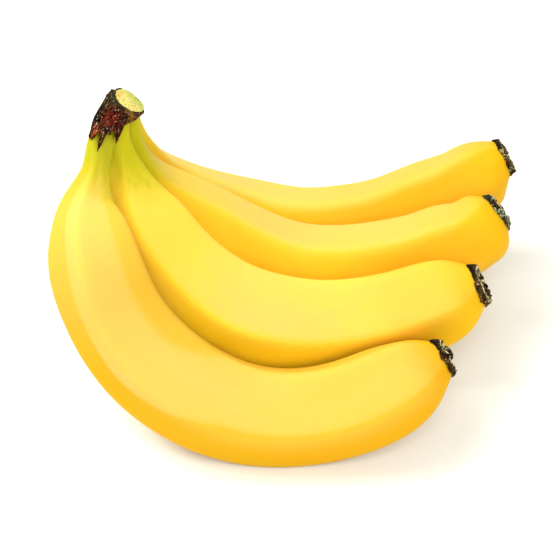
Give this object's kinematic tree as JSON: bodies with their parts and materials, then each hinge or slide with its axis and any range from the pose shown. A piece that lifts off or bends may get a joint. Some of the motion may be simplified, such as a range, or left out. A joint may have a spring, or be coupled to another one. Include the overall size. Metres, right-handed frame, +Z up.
{
  "type": "bunch of bananas",
  "caption": "Hand of ripe yellow bananas grown together on a brown crown, lying on its curved side.",
  "frame": {"origin": "middle of the bunch's footprint on the surface that it lies on", "axes": "+Z up, +X from the crown towards the blossom ends, +Y from the front finger to the back finger"},
  "size_m": [0.1811, 0.1431, 0.123],
  "materials": {
    "crown_bark": "rough dark brown bark with a pale cut face",
    "ripe_peel_1": "smooth waxy yellow peel, lime green at the stalk",
    "withered_blossom_1": "dry, black-brown and ragged",
    "ripe_peel_2": "smooth waxy yellow peel, lime green at the stalk",
    "withered_blossom_2": "dry, black-brown and ragged",
    "ripe_peel_3": "smooth waxy yellow peel, lime green at the stalk",
    "withered_blossom_3": "dry, black-brown and ragged",
    "ripe_peel_4": "smooth waxy yellow peel, lime green at the stalk",
    "withered_blossom_4": "dry, black-brown and ragged"
  },
  "bodies": {
    "root": {"crown": "crown_bark", "finger_1": "ripe_peel_1", "finger_2": "ripe_peel_2", "finger_3": "ripe_peel_3", "finger_4": "ripe_peel_4", "blossom_tip_1": "withered_blossom_1", "blossom_tip_2": "withered_blossom_2", "blossom_tip_3": "withered_blossom_3", "blossom_tip_4": "withered_blossom_4"}
  },
  "joints": []
}
